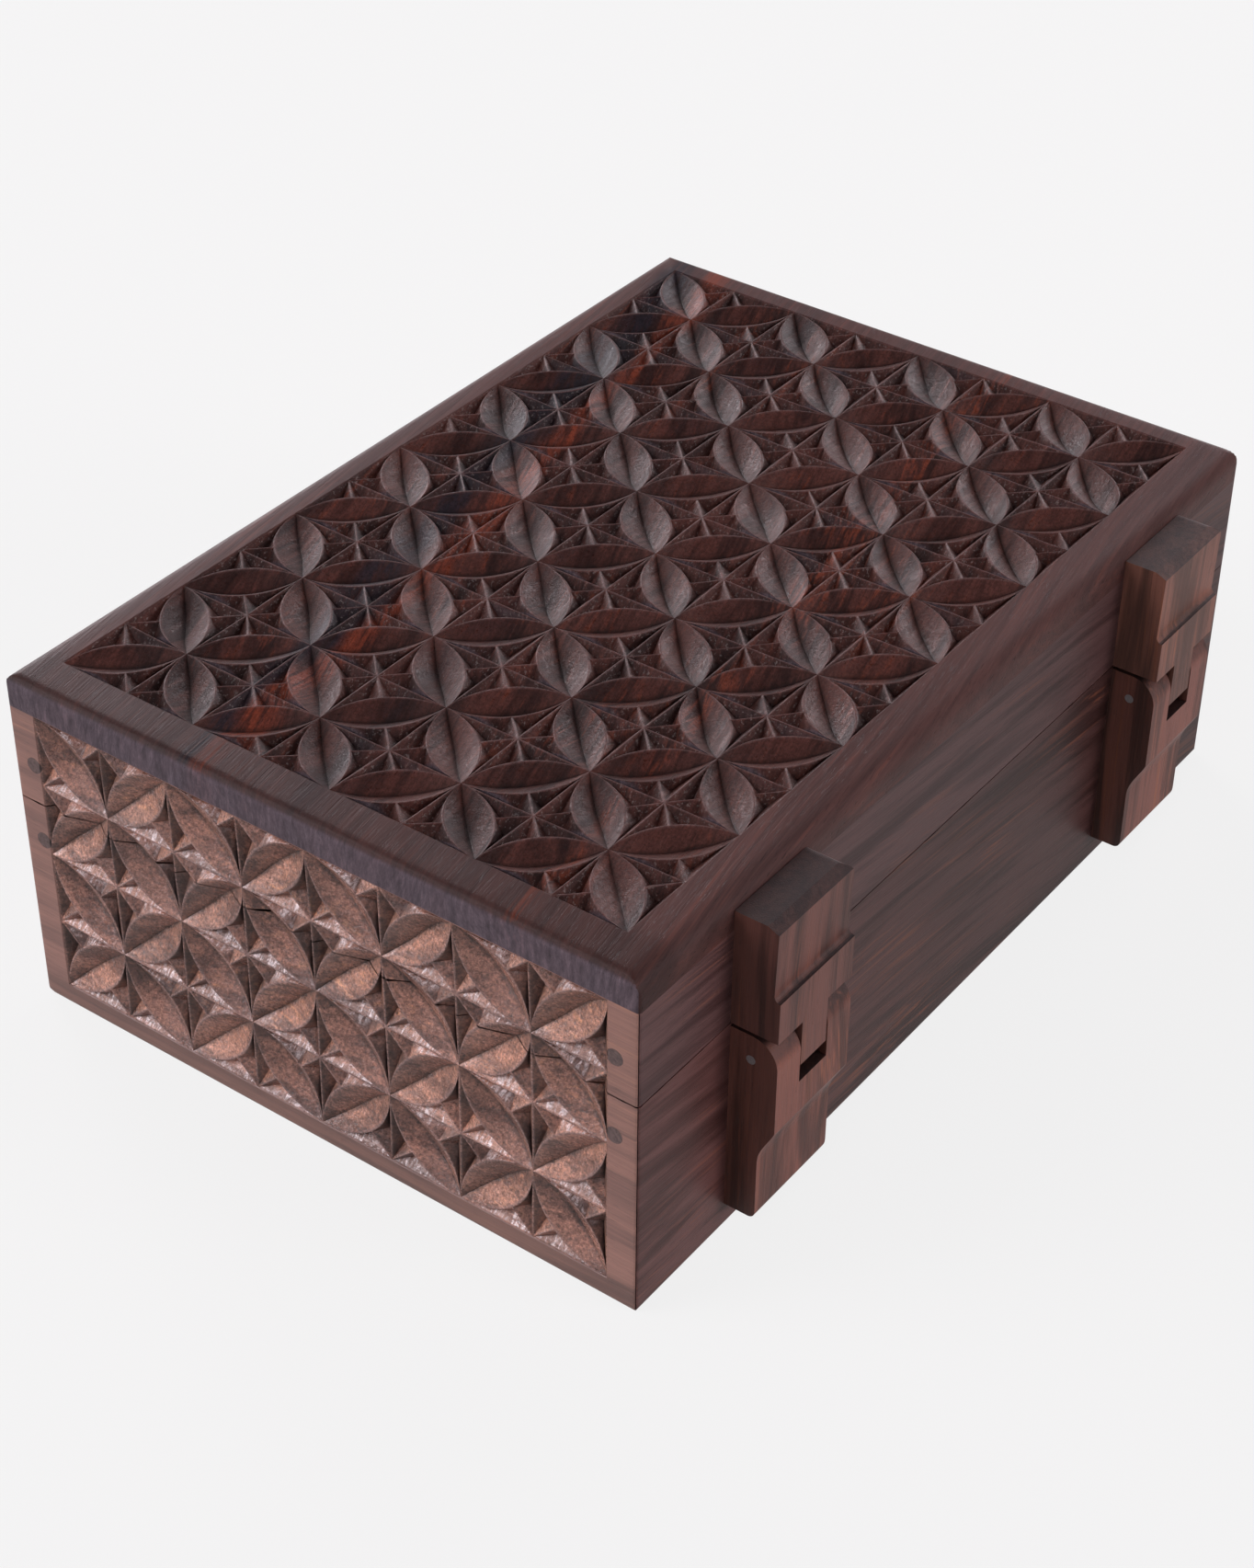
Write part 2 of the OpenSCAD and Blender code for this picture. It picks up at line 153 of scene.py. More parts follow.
class Field:
    """A carved field of nx by ny cells: stars of chips between pointed petals, each cut by hand."""

    def __init__(self, origin, nx, ny, seed, stretch=1.0, drift=(0, 0)):
        """Drift is how far, in millimetres, the laid-out lines wander off at the field's middle."""
        self.nx, self.ny = nx, ny
        self.rng = np.random.default_rng(seed)
        shift = self.rng.normal(0, NODE_STRAY, (nx + 1, ny + 1, 2)).clip(-NODE_STRAY_MAX, NODE_STRAY_MAX)
        across = np.sin(np.pi * np.arange(ny + 1) / ny)
        shift[..., 0] += drift[0] * across
        late = np.sin(np.pi * (np.arange(ny + 1) / ny) ** 1.5)
        shift[..., 1] += drift[1] * late * np.linspace(0.2, 1, nx + 1)[:, None]
        shift[[0, -1], :, 0] = 0
        shift[:, [0, -1], 1] = 0
        shift[[0, 0, -1, -1], [0, -1, 0, -1]] = 0
        i, j = np.meshgrid(np.arange(nx + 1), np.arange(ny + 1), indexing="ij")
        self.node = np.array(origin, float) + GRID * np.stack([i * stretch, j], -1) + shift
        self.bow_u = self.rng.normal(0, EDGE_BOW, (nx, ny + 1))
        self.bow_v = self.rng.normal(0, EDGE_BOW, (nx + 1, ny))
        self.bow_u[:, [0, -1]] = 0
        self.bow_v[[0, -1], :] = 0

    def edge(self, a, b):
        """The grid line between two neighbouring nodes, the same from either side."""
        swap = a > b
        lo, hi = min(a, b), max(a, b)
        bow = self.bow_u[lo] if lo[1] == hi[1] else self.bow_v[lo]
        points = line(self.node[lo], self.node[hi], EDGE_N, bow)
        return points[::-1] if swap else points

    def chip(self, shell, rims, apex, depth, tone):
        """The facets that fall from each rim of a chip to its deepest point."""
        for rim, t0 in rims:
            t = CHIP_T[:, None, None]
            flat = rim[None] + (apex - rim[None]) * t
            h = np.broadcast_to(-RIDGE - depth * ramp(t, t0), flat.shape[:2] + (1,))
            deep = np.broadcast_to(t, h.shape)
            shell.patch(np.concatenate([flat, h, deep], -1), CHIP, tone + self.rng.normal(0, FACET_TONE))

    def cell(self, shell, i, j):
        rng = self.rng
        turned = (i + j) % 2 == 0
        s1, s2 = ((i + 1, j), (i, j + 1)) if turned else ((i, j), (i + 1, j + 1))
        tip1, tip2 = ((i + 1, j + 1), (i, j)) if turned else ((i + 1, j), (i, j + 1))
        p1, p2 = self.node[tip1], self.node[tip2]
        axis = (p2 - p1) / np.hypot(*(p2 - p1))
        side = np.array([-axis[1], axis[0]])
        if np.dot(self.node[s1] - p1, side) < 0:
            side = -side
        long = np.hypot(*(p2 - p1))
        s = np.linspace(0, 1, 2 * ARC_N + 1)
        angle = np.radians(45 - 90 * s)
        bulge = (np.cos(angle) - np.cos(np.pi / 4)) * long / math.sqrt(2)
        along = 0.5 - np.sin(angle) / math.sqrt(2)
        wave = np.sin(np.pi * s)
        rims = []
        for sign in (1, -1):
            wide = bulge * (1 + rng.normal(0, ARC_SPREAD)) + rng.normal(0, ARC_WAVE) * np.sin(2 * np.pi * s) * wave
            rims.append(p1 + axis * (along * long)[:, None] + side * (sign * wide)[:, None])
        sway = rng.normal(0, VALE_SWAY) * wave + rng.normal(0, VALE_WAVE) * np.sin(2 * np.pi * s)
        half = bulge / bulge.max()
        depth = PETAL_D * (1 + rng.normal(0, PETAL_D_SPREAD)) * half
        vale = p1 + axis * (along * long)[:, None] + side * (sway * half)[:, None]
        for rim in rims:
            t = PETAL_T[:, None, None]
            flat = rim[None] + (vale - rim)[None] * t
            fall = ramp(PETAL_T, PETAL_ROUND)[:, None] * depth[None]
            full = 4 * PETAL_T * (1 - PETAL_T)
            fall = fall - PETAL_BELLY * full[:, None] * half[None] * (1 + rng.normal(0, BELLY_SPREAD))
            deep = np.broadcast_to(t, flat.shape[:2] + (1,))
            shell.patch(np.concatenate([flat, (-RIDGE - fall)[..., None], deep], -1), PETAL, rng.normal(0, CUT_TONE))
        for rim, star in zip(rims, (s1, s2)):
            centre, middle = self.node[star], rim[ARC_N]
            spoke = line(centre, middle, SPOKE_N, rng.normal(0, SPOKE_BOW))
            for tip, arc in ((tip1, rim[:ARC_N + 1]), (tip2, rim[ARC_N:][::-1])):
                end = self.node[tip]
                along_dir = (end - centre) / np.hypot(*(end - centre))
                across_dir = (middle - centre) - along_dir * np.dot(middle - centre, along_dir)
                across_dir = across_dir / np.hypot(*across_dir)
                apex = centre + along_dir * GRID * (APEX_ALONG + rng.normal(0, ALONG_SPREAD)) \
                    + across_dir * GRID * (APEX_ACROSS + rng.normal(0, ACROSS_SPREAD))
                depth = CHIP_D * (1 + rng.normal(0, CHIP_D_SPREAD))
                edge = self.edge(star, tip)
                rims_of_chip = (edge, EDGE_ROUND), (arc, ARC_ROUND), (spoke, SPOKE_ROUND)
                self.chip(shell, rims_of_chip, apex, depth, rng.normal(0, CUT_TONE))

    def build(self, shell):
        for j in range(self.ny):
            for i in range(self.nx):
                self.cell(shell, i, j)

    def lines(self):
        """The u and v of all points on the field's edges, which the board round it shares."""
        s = np.linspace(0, 1, EDGE_N + 1)
        us = np.concatenate([self.node[i, 0, 0] + (self.node[i + 1, 0, 0] - self.node[i, 0, 0]) * s[:-1]
                             for i in range(self.nx)] + [[self.node[-1, 0, 0]]])
        vs = np.concatenate([self.node[0, j, 1] + (self.node[0, j + 1, 1] - self.node[0, j, 1]) * s[:-1]
                             for j in range(self.ny)] + [[self.node[0, -1, 1]]])
        return us, vs


def square_edges(field):
    """Keeps the nodes on opposite edges of a field in line, so that one set of grid lines fits both."""
    field.node[:, -1, 0] = field.node[:, 0, 0]
    field.node[-1, :, 1] = field.node[0, :, 1]


def round_edge(d, r):
    """How far a face has dropped at distance d from an edge rounded with radius r."""
    d = np.clip(np.asarray(d, float), 0, r)
    return r - np.sqrt(np.maximum(r * r - (r - d) ** 2, 0))


def edge_steps(r, n=6):
    """Distances from an edge at which its rounding is sampled."""
    return r * (1 - np.cos(np.linspace(0, np.pi / 2, n + 1)))


def steps(a, b, size):
    return np.linspace(a, b, max(2, int(abs(b - a) / size) + 1))


def face_grid(shell, us, vs, height, field=None, finish_point=None):
    """A board's outer face on grid lines us and vs, left open where its carved field goes."""
    uu, vv = np.meshgrid(us, vs, indexing="ij")
    grid = np.stack([uu, vv, height(uu, vv)], -1)
    if finish_point is not None:
        grid = finish_point(grid)
    if field is None:
        shell.patch(grid)
        return grid
    fu, fv = field.lines()
    lo, hi = np.array([fu[0], fv[0]]), np.array([fu[-1], fv[-1]])
    inside = (uu > lo[0] - 1e-6) & (uu < hi[0] + 1e-6) & (vv > lo[1] - 1e-6) & (vv < hi[1] + 1e-6)
    grid[..., 2] = np.where(inside, -RIDGE, grid[..., 2])
    hole = inside[:-1, :-1] & inside[1:, :-1] & inside[1:, 1:] & inside[:-1, 1:]
    shell.keep(shell.quads(grid)[~hole])
    return grid


def finished(bm, me):
    """Writes bm to the mesh, with smooth shading and crisp creases."""
    bm.to_mesh(me)
    bm.free()
    me.shade_smooth()
    me.set_sharp_from_angle(angle=CREASE)
    return me


def closed(me):
    """The mesh with all its faces turned outward."""
    bm = bmesh.new()
    bm.from_mesh(me)
    bmesh.ops.recalc_face_normals(bm, faces=bm.faces)
    return finished(bm, me)


def show(name, me, body, slot, *stands_for):
    obj = bpy.data.objects.new(name, me)
    bpy.context.scene.collection.objects.link(obj)
    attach(obj, body)
    if stands_for:
        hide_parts(*stands_for)
    return obj


def top_mesh():
    field = Field((-TOP_NX * GRID / 2 - FIELD_SHIFT, -TOP_NY * GRID / 2 - FIELD_SHIFT), TOP_NX, TOP_NY, TOP_SEED,
                  drift=TOP_DRIFT)
    square_edges(field)
    fu, fv = field.lines()
    half_l, half_w = BOX_L / 2, BOX_W / 2
    us = np.concatenate([-half_l + edge_steps(TOP_R), steps(-half_l + TOP_R, fu[0] - FLARE, 2)[1:], fu,
                         steps(fu[-1] + FLARE, half_l - TOP_R, 2), (half_l - edge_steps(TOP_R))[::-1][1:]])
    vs = np.concatenate([-half_w + edge_steps(TOP_R), steps(-half_w + TOP_R, fv[0] - FLARE, 2)[1:], fv,
                         steps(fv[-1] + FLARE, half_w - BACK_R, 2), (half_w - edge_steps(BACK_R, 8))[::-1][1:]])

    def height(u, v):
        drop = np.maximum(round_edge(half_l - abs(u), TOP_R), round_edge(half_w + v, TOP_R))
        return -np.maximum(drop, round_edge(half_w - v, BACK_R))

    def corners(grid):
        cu, cv = half_l - CORNER_R, half_w - CORNER_R
        off = np.stack([abs(grid[..., 0]) - cu, abs(grid[..., 1]) - cv], -1)
        out = np.hypot(off[..., 0], off[..., 1])
        scale = np.where((off > 0).all(-1) & (out > CORNER_R), CORNER_R / np.maximum(out, 1e-9), 1.0)
        for k, c in ((0, cu), (1, cv)):
            grid[..., k] = np.where(scale < 1, np.sign(grid[..., k]) * (c + off[..., k] * scale), grid[..., k])
        return grid

    shell = Shell()
    grid = face_grid(shell, us, vs, height, field, corners)
    field.build(shell)
    loop = np.concatenate([grid[:-1, 0], grid[-1, :-1], grid[:0:-1, -1], grid[0, :0:-1]])
    foot = loop.copy()
    foot[:, 2] = -TOP_T
    middle = (loop + foot) / 2
    for a, b in ((loop, middle), (middle, foot)):
        shell.patch(np.stack([np.vstack([a, a[:1]]), np.vstack([b, b[:1]])]))
    shell.polygon(foot)
    return closed(shell.mesh("top_board", lambda p: np.stack([p[:, 0], p[:, 1], p[:, 2] + BOX_H], -1)))


def side_mesh(name, angle, length, out, nx, seed, foot_r, next_foot_r):
    """A full-height board with mitred ends and a rebate, before the saw parts lid and base.

    foot_r rounds its own bottom edge, next_foot_r gives those of the boards at its two ends.
    """
    field = None
    if nx:
        field = Field((-nx * GRID * SIDE_STRETCH / 2, SIDE_Z), nx, SIDE_NY, seed, SIDE_STRETCH, SIDE_DRIFT)
        square_edges(field)
    half = length / 2
    mitre = CORNER_R * (1 - 1 / math.sqrt(2)) + MITRE_GAP
    ends = np.concatenate([[mitre], edge_steps(CORNER_R)[4:], [2, 3, 4]])
    foot_vs = edge_steps(foot_r, 5)
    if field:
        fu, fv = field.lines()
        us = np.concatenate([-half + ends, steps(-half + 4, fu[0] - FLARE, 1.5)[1:], fu,
                             steps(fu[-1] + FLARE, half - 4, 1.5), (half - ends)[::-1][1:]])
        vs = np.concatenate([foot_vs, [fv[0] - FLARE], fv, [fv[-1] + FLARE, TOP_Z]])
    else:
        us = np.concatenate([-half + ends, steps(-half + 4, half - 4, 4)[1:-1], (half - ends)[::-1]])
        vs = np.concatenate([foot_vs, steps(6, TOP_Z, 4)])
    vs = np.unique(np.round(np.concatenate([vs, [0.7, 2, 3, BOTTOM_T]]), 6))

    def height(u, v):
        return -np.maximum(round_edge(half - abs(u), CORNER_R), round_edge(v, foot_r))

    def least_v(u, depth):
        """How high the rounded bottom edges of this board and the next leave a point at that depth."""
        r = np.where(u < 0, next_foot_r[0], next_foot_r[1])
        near = np.clip(half - abs(u), 0, r)
        return np.maximum(r - np.sqrt(np.maximum(r * r - (r - near) ** 2, 0)), round_edge(depth, foot_r))

    def on_mitre(grid):
        limit = half + grid[..., 2] - MITRE_GAP
        grid[..., 0] = np.clip(grid[..., 0], -limit, limit)
        grid[..., 1] = np.maximum(grid[..., 1], least_v(grid[..., 0], foot_r))
        return grid

    shell = Shell()
    grid = face_grid(shell, us, vs, height, field, on_mitre)
    if field:
        field.build(shell)
    m = grid.shape[1]
    low = int(np.where(np.isclose(vs, BOTTOM_T))[0][0])
    columns = {}
    for side in (-1, 1):
        column = [grid[0 if side < 0 else -1]]
        for d in (1, 2, 3, 4, REBATE, WALL):
            u = np.full(m, side * (half - d))
            column.append(np.stack([u, np.maximum(vs, least_v(u, d)), np.full(m, -d)], -1))
        for a, b in zip(column[:-2], column[1:-1]):
            shell.patch(np.stack([a, b]))
        shell.patch(np.stack([column[-2][low:], column[-1][low:]]))
        columns[side] = column
    left, right = columns[-1], columns[1]
    inner_l, inner_r, mid_l, mid_r = left[-1], right[-1], left[-2], right[-2]
    shell.polygon(np.vstack([grid[:, -1]] + [c[-1:] for c in right[1:]] + [c[-1:] for c in left[:0:-1]]))
    shell.polygon(np.vstack([grid[:, 0]] + [c[:1] for c in right[1:-1]] + [c[:1] for c in left[-2:0:-1]]))
    shell.polygon(np.vstack([mid_l[:low + 1], mid_r[:low + 1][::-1]]))
    shell.polygon(np.vstack([mid_l[low:low + 1], mid_r[low:low + 1], inner_r[low:low + 1], inner_l[low:low + 1]]))
    shell.polygon(np.vstack([inner_l[low:], inner_r[low:][::-1]]))
    turn = np.radians(angle)
    c, s = math.cos(turn), math.sin(turn)

    def place(p):
        x, y = p[:, 0], -(out + p[:, 2])
        return np.stack([c * x - s * y, s * x + c * y, p[:, 1]], -1)

    return closed(shell.mesh(name, place))


# The saw's unevenness: waves over x + 1.7 y, of which what passes a level is cut, in millimetres
SAW_SLANT, SAW_WAVES, SAW_LEVEL, SAW_CUT = 1.7, ((0.37, 0), (0.83, 1), (0.11, 2)), 0.6, 0.09


def sawn(me, name, lid):
    """The lid's or the base's part of a full-height board, with the saw's slightly uneven edge."""
    bm = bmesh.new()
    bm.from_mesh(me)
    z = (SEAM + (SEAM_GAP if lid else -SEAM_GAP) / 2) * MM
    keep = Vector((0, 0, -1 if lid else 1))
    bmesh.ops.bisect_plane(bm, geom=bm.verts[:] + bm.edges[:] + bm.faces[:], dist=1e-7,
                           plane_co=(0, 0, z), plane_no=keep, clear_outer=True)
    open_edges = [e for e in bm.edges if e.is_boundary]
    kind = bm.faces.layers.float["kind"]
    for face in bmesh.ops.holes_fill(bm, edges=open_edges, sides=0)["faces"]:
        face[kind] = UNCUT
    bmesh.ops.recalc_face_normals(bm, faces=bm.faces)
    for v in bm.verts:
        if abs(v.co.z - z) < 1e-6:
            a = (v.co.x + SAW_SLANT * v.co.y) * 1000
            dent = max(0.0, sum(math.sin(a * k + phase) for k, phase in SAW_WAVES) - SAW_LEVEL) * SAW_CUT
            v.co.z += (dent if lid else -dent) * MM
    return finished(bm, bpy.data.meshes.new(name))


BORE_OVERSHOOT, BORE_SEGMENTS = 1.0, 28


def bored(me, holes):
    """Bores round holes along X, each given by its outer face x, y, z, radius and depth, into a closed mesh."""
    bm = bmesh.new()
    spin = Matrix.Rotation(math.pi / 2, 4, "Y")
    for x, y, z, r, depth in holes:
        at = Matrix.Translation(Vector((x - math.copysign(depth / 2 - BORE_OVERSHOOT, x), y, z)) * MM)
        bmesh.ops.create_cone(bm, cap_ends=True, segments=BORE_SEGMENTS, radius1=r * MM, radius2=r * MM,
                              depth=(depth + 2 * BORE_OVERSHOOT) * MM, matrix=at @ spin)
    tool_mesh = bpy.data.meshes.new("bore")
    bm.to_mesh(tool_mesh)
    bm.free()
    tool, work = bpy.data.objects.new("bore", tool_mesh), bpy.data.objects.new("work", me)
    for obj in (tool, work):
        bpy.context.scene.collection.objects.link(obj)
    cut = work.modifiers.new("Bore", "BOOLEAN")
    cut.operation, cut.object, cut.solver = "DIFFERENCE", tool, "EXACT"
    done = bpy.data.meshes.new_from_object(work.evaluated_get(bpy.context.evaluated_depsgraph_get()))
    for obj in (tool, work):
        bpy.data.objects.remove(obj)
    bpy.data.meshes.remove(tool_mesh)
    return done


# Dowels: radius, room round them, how far in from the box's sides and off the seam, length
DOWEL_R, DOWEL_ROOM, DOWEL_IN, DOWEL_OFF, DOWEL_L = 2.25, 0.05, 6.5, 11.5, 24.0

pieces = {"top_board": show("carved_top_board", top_mesh(), "lid", "wood_top", "top_board")}
# Side, turn in degrees, length, distance from the middle, cells along, seed, slot, rounding of its foot and of those
# of the boards at its two ends
SIDES = (("front", 0, BOX_L, BOX_W / 2, TOP_NX, 21, "wood_side", FRONT_FOOT_R, (FOOT_R, FOOT_R)),
         ("back", 180, BOX_L, BOX_W / 2, 0, 0, "wood_back", FOOT_R, (FOOT_R, FOOT_R)),
         ("end_right", 90, BOX_W, BOX_L / 2, TOP_NY, 33, "wood_side", FOOT_R, (FRONT_FOOT_R, FOOT_R)),
         ("end_left", -90, BOX_W, BOX_L / 2, TOP_NY, 47, "wood_side", FOOT_R, (FOOT_R, FRONT_FOOT_R)))
for side, angle, length, out, nx, seed, slot_name, foot_r, next_foot_r in SIDES:
    whole = side_mesh("board_" + side, angle, length, out, nx, seed, foot_r, next_foot_r)
    if side.startswith("end"):
        x = math.copysign(BOX_L / 2, angle)
        whole = bored(whole, [(x, y * (BOX_W / 2 - DOWEL_IN), SEAM + dz, DOWEL_R + DOWEL_ROOM, DOWEL_L)
                              for y in (-1, 1) for dz in (DOWEL_OFF, -DOWEL_OFF)])
    for part in ("lid", "base"):
        node = part + "_" + side
        pieces[node] = show("carved_" + node if nx else "plain_" + node, sawn(whole, node, part == "lid"),
                            part, slot_name, node)
    bpy.data.meshes.remove(whole)


# ---------------------------------------------------------------- woods and metal

class Nodes:
    """A short way to write the node tree of a material or world."""

    def __init__(self, owner):
        owner.use_nodes = True
        self.owner, self.tree = owner, owner.node_tree
        self.tree.nodes.clear()

    def node(self, kind, inputs=(), **settings):
        n = self.tree.nodes.new("ShaderNode" + kind)
        for key, value in settings.items():
            setattr(n, key, value)
        for key, value in dict(inputs).items():
            self.put(n.inputs[key], value)
        return n

    def put(self, socket, value):
        if isinstance(value, bpy.types.NodeSocket):
            self.tree.links.new(value, socket)
        elif isinstance(value, (tuple, list)) and len(value) == 3 and socket.type == "RGBA":
            socket.default_value = (*value, 1)
        else:
            socket.default_value = value

    def math(self, op, a, b=0.0, c=0.0):
        return self.node("Math", {0: a, 1: b, 2: c}, operation=op).outputs[0]

    def mul(self, first, *others):
        for value in others:
            first = self.math("MULTIPLY", first, value)
        return first

    def rest(self, value):
        """1 - value."""
        return self.math("SUBTRACT", 1.0, value)

    def one_plus(self, a, b):
        """1 + a b."""
        return self.math("MULTIPLY_ADD", a, b, 1.0)

    def swing(self, value, amount):
        """A factor that swings about 1 as value swings about a half."""
        return self.one_plus(self.math("SUBTRACT", value, 0.5), amount)

    def grey(self, value):
        return self.node("CombineColor", {0: value, 1: value, 2: value}).outputs[0]

    def split(self, vector):
        return self.node("SeparateXYZ", {0: vector}).outputs

    def noise(self, vector, scale=1.0, detail=2.0, rough=0.5, twist=0.0):
        return self.node("TexNoise", {"Vector": vector, "Scale": scale, "Detail": detail, "Roughness": rough,
                                      "Distortion": twist}).outputs["Fac"]

    def stretch(self, vector, scale, turn=(0, 0, 0), shift=(0, 0, 0)):
        return self.node("Mapping", {"Vector": vector, "Scale": scale, "Rotation": turn,
                                     "Location": shift}).outputs[0]

    def span(self, value, lo, hi, to_lo=0.0, to_hi=1.0):
        return self.node("MapRange", {"Value": value, "From Min": lo, "From Max": hi, "To Min": to_lo,
                                      "To Max": to_hi}, interpolation_type="SMOOTHSTEP").outputs[0]

    def mix(self, fac, a, b, blend="MIX"):
        n = self.node("Mix", data_type="RGBA", blend_type=blend, clamp_factor=True)
        for socket, value in ((n.inputs[0], fac), (n.inputs[6], a), (n.inputs[7], b)):
            self.put(socket, value)
        return n.outputs[2]

    def attribute(self, name):
        return self.node("Attribute", attribute_name=name).outputs["Fac"]

    def finish(self, **inputs):
        shader = self.node("BsdfPrincipled", {k.replace("_", " "): v for k, v in inputs.items()})
        return self.output("OutputMaterial", shader)

    def output(self, kind, shader):
        self.tree.links.new(shader.outputs[0], self.node(kind).inputs[0])
        return self.owner


END_GRAIN = 0.72, 0.97  # how squarely a face cuts the grain, from where end grain starts to show to where it is full
WANDER, STREAK_WANDER = 14.0, 24.0  # how far the grain's bands and the top's streaks wander, in mm
BUMP, BUMP_MM = 0.4, 0.2  # strength and height of the wood's relief
PLAIN_SHARE = 0.6  # how far a carved board's uncut border takes on its even colour
CRACK_WIDTH = 0.02  # as a share of its noise
PAINTED_LIGHT_TINT = (1.26, 1.22, 1.10)  # painted light: a warm tint laid on facets that look up and towards the minus side of the grain's axis, where the lights fall
PAINTED_SHADE_TINT = (0.85, 0.62, 0.58)  # painted shade: a darker, redder tint laid on facets that look down
# Streaks in the top board: place and slope of the middle line and half width in mm, softness, the veins between which
# a streak breaks off, with the shares at those, its strength and its colour
STREAKS = ((-59, 0.02, 1, 6, (0.32, 0.55, 0.2, 1.0), 0.85, (0.013, 0.013, 0.019)),
           (-22, -0.02, 1, 7, (0.4, 0.6, 0.0, 1.0), 0.5, (0.012, 0.011, 0.014)),
           (-50, 0.0, 0.5, 5, (0.36, 0.56, 0.25, 1.0), 0.85, (0.17, 0.036, 0.018)),
           (40, -0.02, 0.5, 4, (0.45, 0.6, 0.0, 1.0), 0.7, (0.16, 0.038, 0.02)))


def wood(name, grain, dark, light, red, seed=0.0, slant=(0, 0, 0), flat=1.0, rough=0.42, gloss=0.35,
         end=(0.055, 0.040, 0.044), streaks=None, lengthwise=None, flank=None, knife=None):
    """Rosewood: long bands and fibres along the grain ("x", "y" or "z") and dark pores.

    slant turns the grain, in degrees. flat draws the pattern out over the thickness. end is the colour of end grain.
    lengthwise shades from the middle to the +X end, flank darkens a leaf's sides and upward faces as painted shade.
    knife holds the settings of knife_marks for a carved board.
    """
    m = Nodes(bpy.data.materials.new(name))
    coord = m.node("TexCoord").outputs
    turn = {"x": slant, "y": (0, 0, 90), "z": (0, 90, 0)}[grain]
    v = m.stretch(coord["Object"], (1 / MM,) * 3, [math.radians(a) for a in turn], [seed * a for a in (31, 57, 13)])
    place, facing = m.split(coord["Object"]), m.split(coord["Normal"])
    along = facing["xyz".index(grain)]
    across = m.span(m.math("ABSOLUTE", along), *END_GRAIN)

    wander = m.noise(m.stretch(v, (0.006, 0.03, 0.03)), 1, 1)
    wander = m.mul(m.math("SUBTRACT", wander, 0.5), WANDER)
    wander = m.node("CombineXYZ", {"Y": wander, "Z": wander}).outputs[0]
    moved = m.node("VectorMath", {0: v, 1: wander}, operation="ADD").outputs[0]
    bands = m.noise(m.stretch(moved, (0.010, 0.16, 0.16 * flat)), 1, 3, 0.62, 0.4)
    veins = m.noise(m.stretch(moved, (0.02, 0.75, 0.75 * flat)), 1, 3, 0.6, 0.3)
    fibres = m.noise(m.stretch(moved, (0.06, 3.2, 3.2 * flat)), 1, 2, 0.6)
    pores = m.span(m.noise(m.stretch(v, (0.22, 5.0, 5.0 * flat)), 1, 1, 0.5), 0.62, 0.72)
    blotch = m.span(m.noise(m.stretch(v, (0.015, 0.03, 0.03)), 1, 2), 0.42, 0.62)

    tone = m.math("ADD", m.mul(m.span(bands, 0.32, 0.7), 0.55), m.mul(veins, 0.5))
    colour = m.mix(m.span(tone, 0.18, 0.75), dark, light)
    colour = m.mix(m.mul(m.span(veins, 0.52, 0.74), blotch), colour, red)
    lines = knife["lines"] if knife else 0.0
    if knife:
        cut = m.math("GREATER_THAN", m.attribute("kind"), UNCUT + 0.5)
        level = m.mul(m.rest(cut), m.rest(across))
        colour = m.mix(m.mul(level, PLAIN_SHARE), colour, knife["plain"])
    if streaks:
        colour = streaks(m, v, colour, veins)
    colour = m.mix(m.mul(across, 0.85), colour, end)

    deeper = m.math("MULTIPLY_ADD", across, 1.6 - lines, lines)
    shade = m.mul(m.swing(fibres, 0.6), m.swing(veins, deeper), m.one_plus(pores, -0.4))
    if lengthwise:
        shade = m.mul(shade, m.span(place[0], 0.0, 0.13, *lengthwise))
    # Painted shade: a leaf's sides and upward faces are darkened
    if flank:
        shade = m.mul(shade, m.span(m.math("ABSOLUTE", facing[0]), 0.6, 0.9, 1.0, flank),
                      m.span(facing[2], 0.1, 0.5, 1.0, flank))
    height = m.math("MULTIPLY_ADD", pores, -0.5, fibres)
    roughness = m.math("ADD", m.math("MULTIPLY_ADD", fibres, 0.16, rough - 0.08), m.mul(across, 0.12))
    if knife:
        upright = m.math("SUBTRACT", m.noise(m.stretch(v, (0.2, 1.1, 0.12)), 1, 2, 0.6), 0.5)
        shade = m.mul(shade, m.one_plus(m.mul(upright, across), 0.9))
        colour, shade, height, roughness = knife_marks(m, v, place, facing, along, veins, cut, level, colour, shade,
                                                       height, roughness, **knife)
    colour = m.mix(1.0, colour, m.grey(shade), "MULTIPLY")
    normal = m.node("Bump", {"Height": height, "Strength": BUMP, "Distance": BUMP_MM * MM}).outputs[0]
    return m.finish(Base_Color=colour, Roughness=roughness, Normal=normal, Specular_IOR_Level=gloss)


